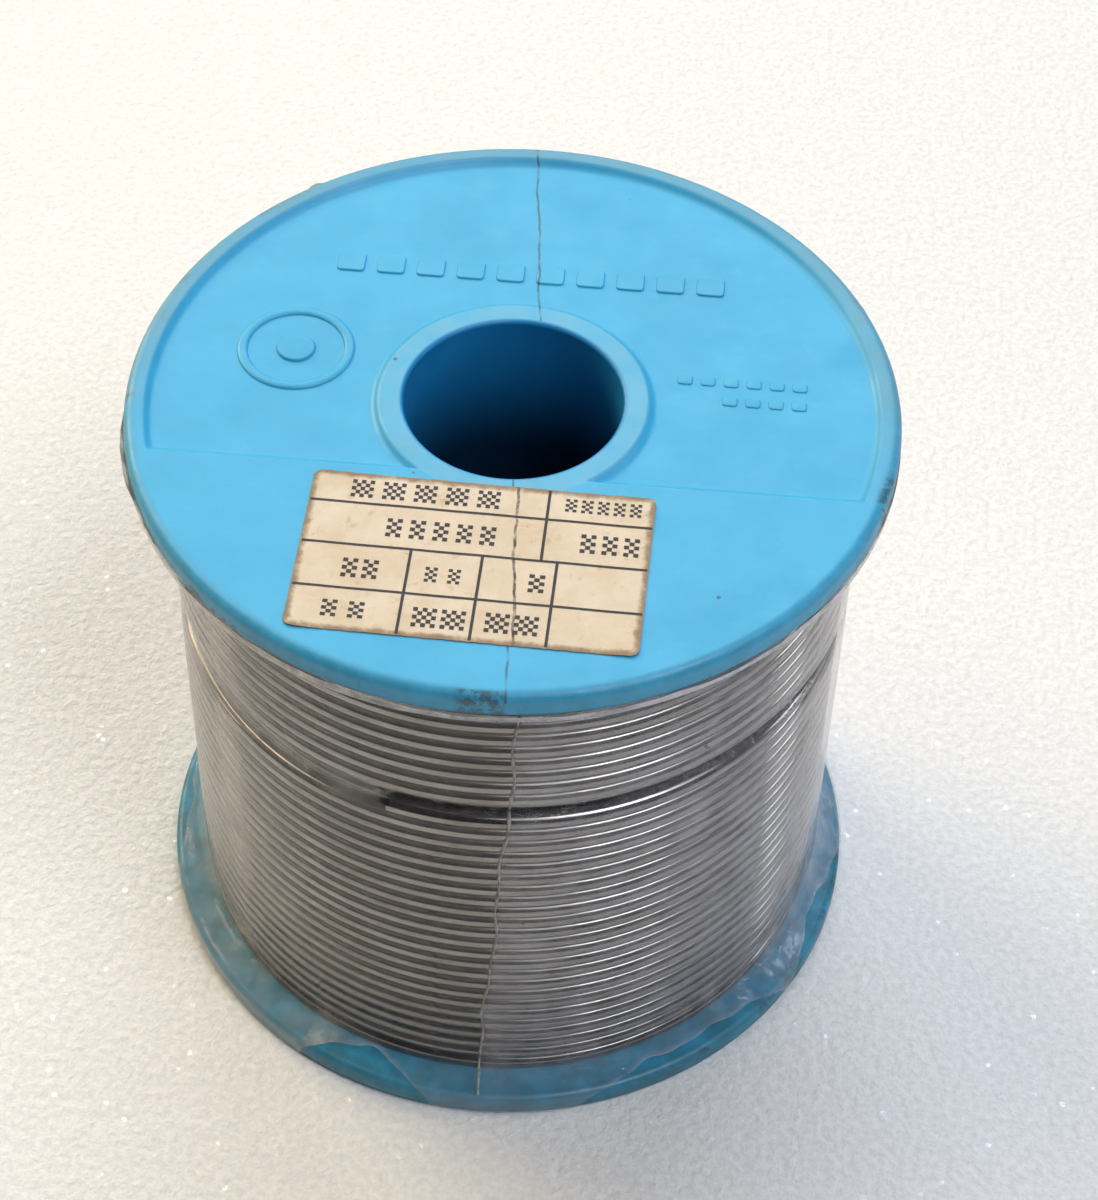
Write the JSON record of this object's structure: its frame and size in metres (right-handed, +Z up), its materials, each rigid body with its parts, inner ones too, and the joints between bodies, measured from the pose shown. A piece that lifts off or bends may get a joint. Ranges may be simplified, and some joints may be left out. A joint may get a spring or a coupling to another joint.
{
  "type": "solder wire spool",
  "caption": "Flanged hollow plastic spool filled with close-wound solder wire, with a paper label and a clear shrink film sleeve.",
  "frame": {"origin": "centre of the bore at the plane of the bottom flange's outer face", "axes": "+Z up along the bore; -Y is the side of the top flange that carries the label"},
  "size_m": [0.0674, 0.0674, 0.0621],
  "materials": {
    "blue_plastic": "satin moulded plastic, soiled at the rim",
    "solder": "bright drawn tin-lead wire, slightly tarnished",
    "flux_resin": "clear amber resin",
    "label_paper": "yellowed uncoated paper with black ruled lines",
    "clear_film": "clear heat-shrunk film, hazy and torn"
  },
  "bodies": {
    "root": {"upper_spool_half": "blue_plastic", "lower_spool_half": "blue_plastic", "winding_layer_01": "solder", "winding_layer_02": "solder", "winding_layer_03": "solder", "winding_layer_04": "solder", "winding_layer_05": "solder", "winding_layer_06": "solder", "winding_layer_07": "solder", "winding_layer_08": "solder", "winding_layer_09": "solder", "winding_layer_10": "solder", "winding_layer_11": "solder", "winding_layer_12": "solder", "winding_layer_outer_lower": "solder", "winding_layer_outer_upper": "solder", "wire_tail": "solder", "flux_core": "flux_resin", "paper_label": "label_paper", "shrink_film": "clear_film"}
  },
  "joints": []
}
